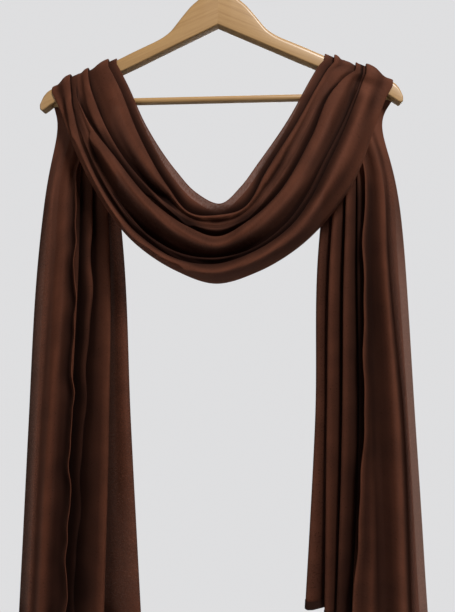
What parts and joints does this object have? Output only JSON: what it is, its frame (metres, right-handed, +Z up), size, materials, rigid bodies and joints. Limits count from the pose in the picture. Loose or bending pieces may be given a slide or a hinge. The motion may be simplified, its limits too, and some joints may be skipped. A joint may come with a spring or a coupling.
{
  "type": "dupatta stole on a clothes hanger",
  "caption": "Long sheer stole draped as a front cowl over a wooden clothes hanger with a trouser bar, both ends falling behind the arms.",
  "frame": {"origin": "bearing point of the hook, on the underside of the top of its loop", "axes": "+Z up; +X to the right as the front is seen; the swag hangs on the -Y side"},
  "size_m": [0.5154, 0.0961, 0.8714],
  "materials": {
    "wood": "clear satin lacquer, pale straight grain",
    "bar_wood": "clear satin lacquer",
    "steel": "plated wire",
    "chiffon_front": "sheer crepe weave, soft sheen",
    "chiffon_shoulder": "sheer crepe weave, soft sheen",
    "chiffon_tail": "sheer crepe weave, soft sheen",
    "chiffon_hem": "narrow turned hem"
  },
  "bodies": {
    "root": {"hanger_body": "wood", "hanger_bar": "bar_wood", "hanger_hook": "steel", "stole_front_swag": "chiffon_front", "stole_left_shoulder": "chiffon_shoulder", "stole_right_shoulder": "chiffon_shoulder", "stole_left_tail": "chiffon_tail", "stole_right_tail": "chiffon_tail", "hem_left": "chiffon_hem", "hem_right": "chiffon_hem"}
  },
  "joints": []
}
